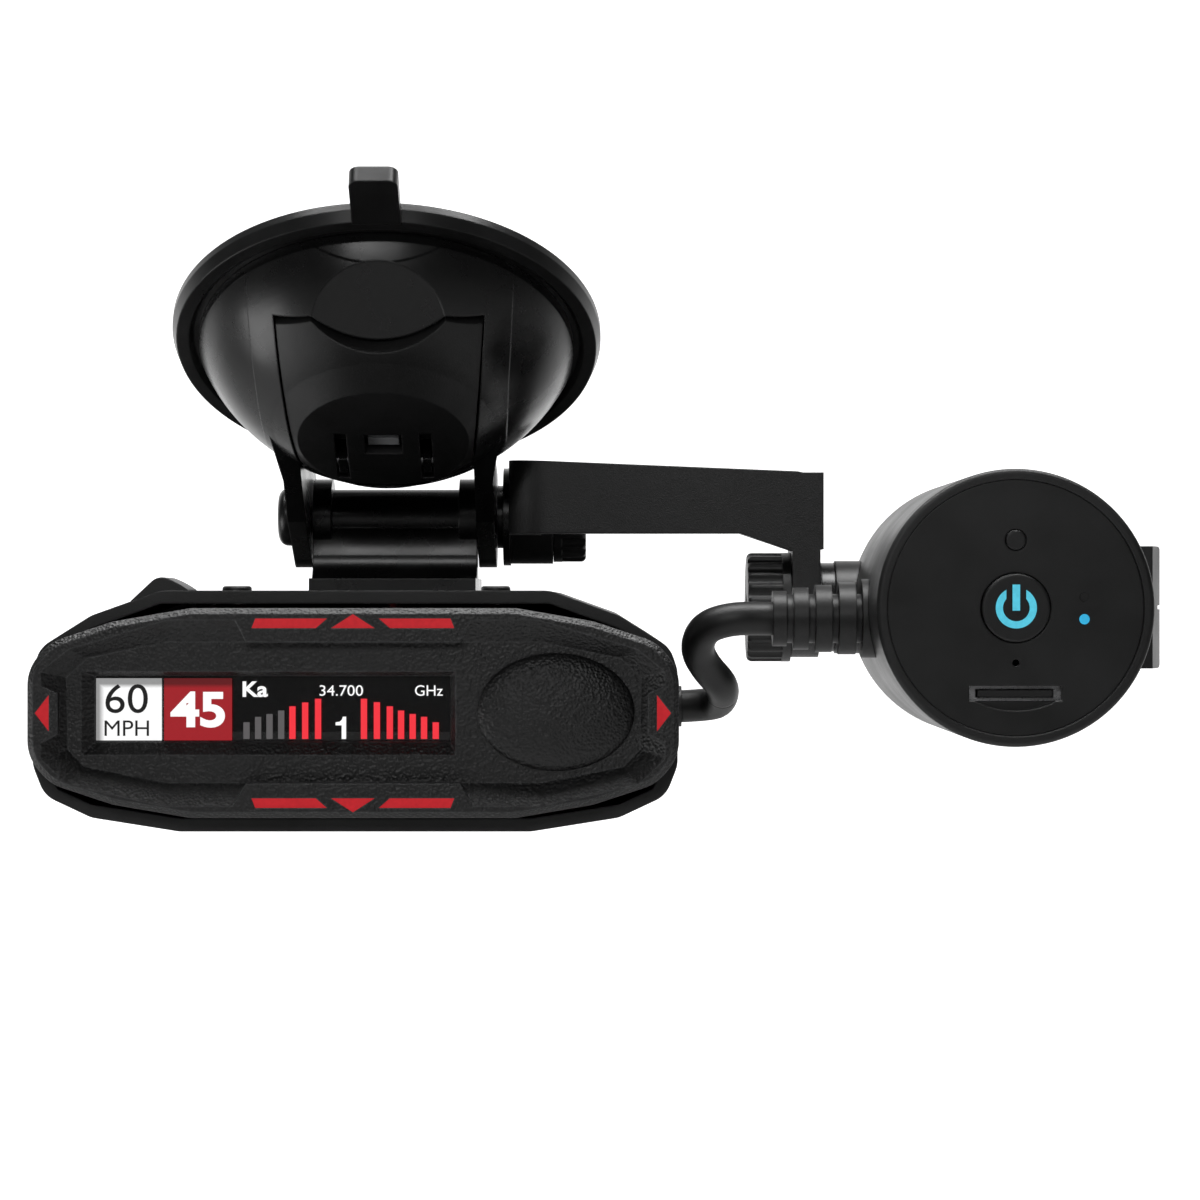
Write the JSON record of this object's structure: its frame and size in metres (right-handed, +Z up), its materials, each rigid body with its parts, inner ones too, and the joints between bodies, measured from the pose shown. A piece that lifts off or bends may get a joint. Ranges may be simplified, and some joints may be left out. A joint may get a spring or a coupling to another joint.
{
  "type": "radar detector",
  "caption": "Windscreen radar detector with a lit display, hung from a suction cup mount, with a round camera module on a side arm and a short link cable.",
  "frame": {"origin": "centre of the suction face on the windscreen", "axes": "+X to the driver's right, along the longest extent; +Y forward to the road; +Z up, the shortest extent"},
  "size_m": [0.1661, 0.137, 0.0955],
  "materials": {
    "soft_black": "smooth, slightly glossy soft plastic",
    "gloss_black": "glossy moulded",
    "satin_black": "satin moulded",
    "grained_black": "leather-grained",
    "face_black": "fine satin",
    "knob_black": "ridged moulded",
    "painted_arm": "fine textured paint",
    "cable_black": "smooth cable jacket",
    "grey_plastic": "moulded",
    "speaker_black": "pressed cone",
    "card_black": "moulded",
    "steel": "zinc-plated",
    "magnet": "nickel-plated",
    "cast_metal": "as cast",
    "contact_brass": "plated",
    "board": "solder mask",
    "sensor": "moulded",
    "ceramic_patch": "sintered",
    "red_lamp": "diffusing",
    "display": "lit screen",
    "cyan_light": "lit symbol",
    "blue_light": "lit point",
    "clear_window": "clear",
    "dark_window": "dark red tint",
    "lens_glass": "coated lens"
  },
  "bodies": {
    "mount": {"suction_disc": "soft_black", "cup_housing": "gloss_black", "lever_pin": "steel", "release_spring": "steel"},
    "stem": {"pull_stem": "grey_plastic", "stem_pin": "steel"},
    "lever": {"release_lever": "satin_black"},
    "detector": {"mount_plate": "gloss_black", "mount_magnets": "magnet", "hinge_bolt": "steel", "hinge_cap": "gloss_black", "hinge_spacer": "gloss_black", "arm_washer": "gloss_black", "upper_case": "satin_black", "lower_case": "satin_black", "case_screws": "steel", "front_bezel": "grained_black", "arrow_light_top": "red_lamp", "arrow_light_bottom": "red_lamp", "arrow_light_left": "red_lamp", "arrow_light_right": "red_lamp", "display_window": "clear_window", "display_module": "display", "laser_eye_cover": "grained_black", "led_board": "board", "main_board": "board", "road_horn": "cast_metal", "cabin_horn": "cast_metal", "laser_sensor": "sensor", "gps_antenna": "ceramic_patch", "speaker": "speaker_black", "road_window": "dark_window", "link_jack": "contact_brass", "link_plug": "cable_black", "plug_lead": "cable_black"},
    "left_key": {"left_key": "satin_black"},
    "right_key": {"right_key": "satin_black"},
    "wedge_key": {"wedge_key": "satin_black"},
    "arm": {"arm_bracket": "painted_arm", "pivot_bolt": "steel", "pivot_washer": "gloss_black"},
    "arm_knob": {"arm_clamp_knob": "knob_black"},
    "camera_knob": {"camera_clamp_knob": "knob_black"},
    "camera": {"camera_shell": "satin_black", "pivot_boss": "satin_black", "side_cap": "satin_black", "camera_face": "face_black", "status_lights": "blue_light", "card_socket": "steel", "lens_barrel": "knob_black", "lens_ring": "satin_black", "lens_glass": "lens_glass", "image_board": "board", "camera_board": "board", "strain_relief": "cable_black", "camera_lead": "cable_black"},
    "power_button": {"power_button": "face_black", "power_symbol": "cyan_light"},
    "event_button": {"event_button": "face_black"},
    "memory_card": {"memory_card": "card_black"}
  },
  "joints": [
    {"name": "lever_swing", "type": "hinge", "parent": "mount", "child": "lever", "pos_m": [0, -0.00406, -0.02003], "axis": [1, 0, 0], "range_deg": [0, 62]},
    {"name": "stem_slide", "type": "slide", "parent": "mount", "child": "stem", "axis": [0, 0.5225, 0.8526], "range_m": [0, 0.0022], "deforming": ["release_spring", "suction_disc"]},
    {"name": "detector_tilt", "type": "hinge", "parent": "mount", "child": "detector", "pos_m": [0, 0.028, -0.02825], "axis": [1, 0, 0], "range_deg": [-4, 10]},
    {"name": "arm_swing", "type": "hinge", "parent": "detector", "child": "arm", "pos_m": [0, 0.028, -0.02825], "axis": [1, 0, 0], "range_deg": [-2, 18], "deforming": ["plug_lead"]},
    {"name": "camera_tilt", "type": "hinge", "parent": "arm", "child": "camera", "pos_m": [0.066, 0.011, -0.04305], "axis": [1, 0, 0], "range_deg": [-25, 25], "deforming": ["camera_lead"]},
    {"name": "arm_knob_turn", "type": "hinge", "parent": "arm", "child": "arm_knob", "pos_m": [0, 0.028, -0.02825], "axis": [1, 0, 0], "range_deg": [-720, 0]},
    {"name": "camera_knob_turn", "type": "hinge", "parent": "arm", "child": "camera_knob", "pos_m": [0.066, 0.011, -0.04305], "axis": [1, 0, 0], "range_deg": [-720, 0]},
    {"name": "left_key_press", "type": "slide", "parent": "detector", "child": "left_key", "axis": [0, 0, -1], "range_m": [0, 0.0006], "stiffness_N_per_m": 400, "springref_m": -0.002},
    {"name": "right_key_press", "type": "slide", "parent": "detector", "child": "right_key", "axis": [0, 0, -1], "range_m": [0, 0.0006], "stiffness_N_per_m": 400, "springref_m": -0.002},
    {"name": "wedge_key_press", "type": "slide", "parent": "detector", "child": "wedge_key", "axis": [0, 0, -1], "range_m": [0, 0.0006], "stiffness_N_per_m": 400, "springref_m": -0.002},
    {"name": "power_button_press", "type": "slide", "parent": "camera", "child": "power_button", "axis": [0, 1, 0], "range_m": [0, 0.0005], "stiffness_N_per_m": 400, "springref_m": -0.002},
    {"name": "event_button_press", "type": "slide", "parent": "camera", "child": "event_button", "axis": [0, 1, 0], "range_m": [0, 0.0004], "stiffness_N_per_m": 400, "springref_m": -0.002},
    {"name": "card_slide", "type": "slide", "parent": "camera", "child": "memory_card", "axis": [0, -1, 0], "range_m": [0, 0.016]}
  ],
  "couplings": [
    {"joint": "lever_swing", "follows": "stem_slide", "rad_per_m": 491.37}
  ]
}
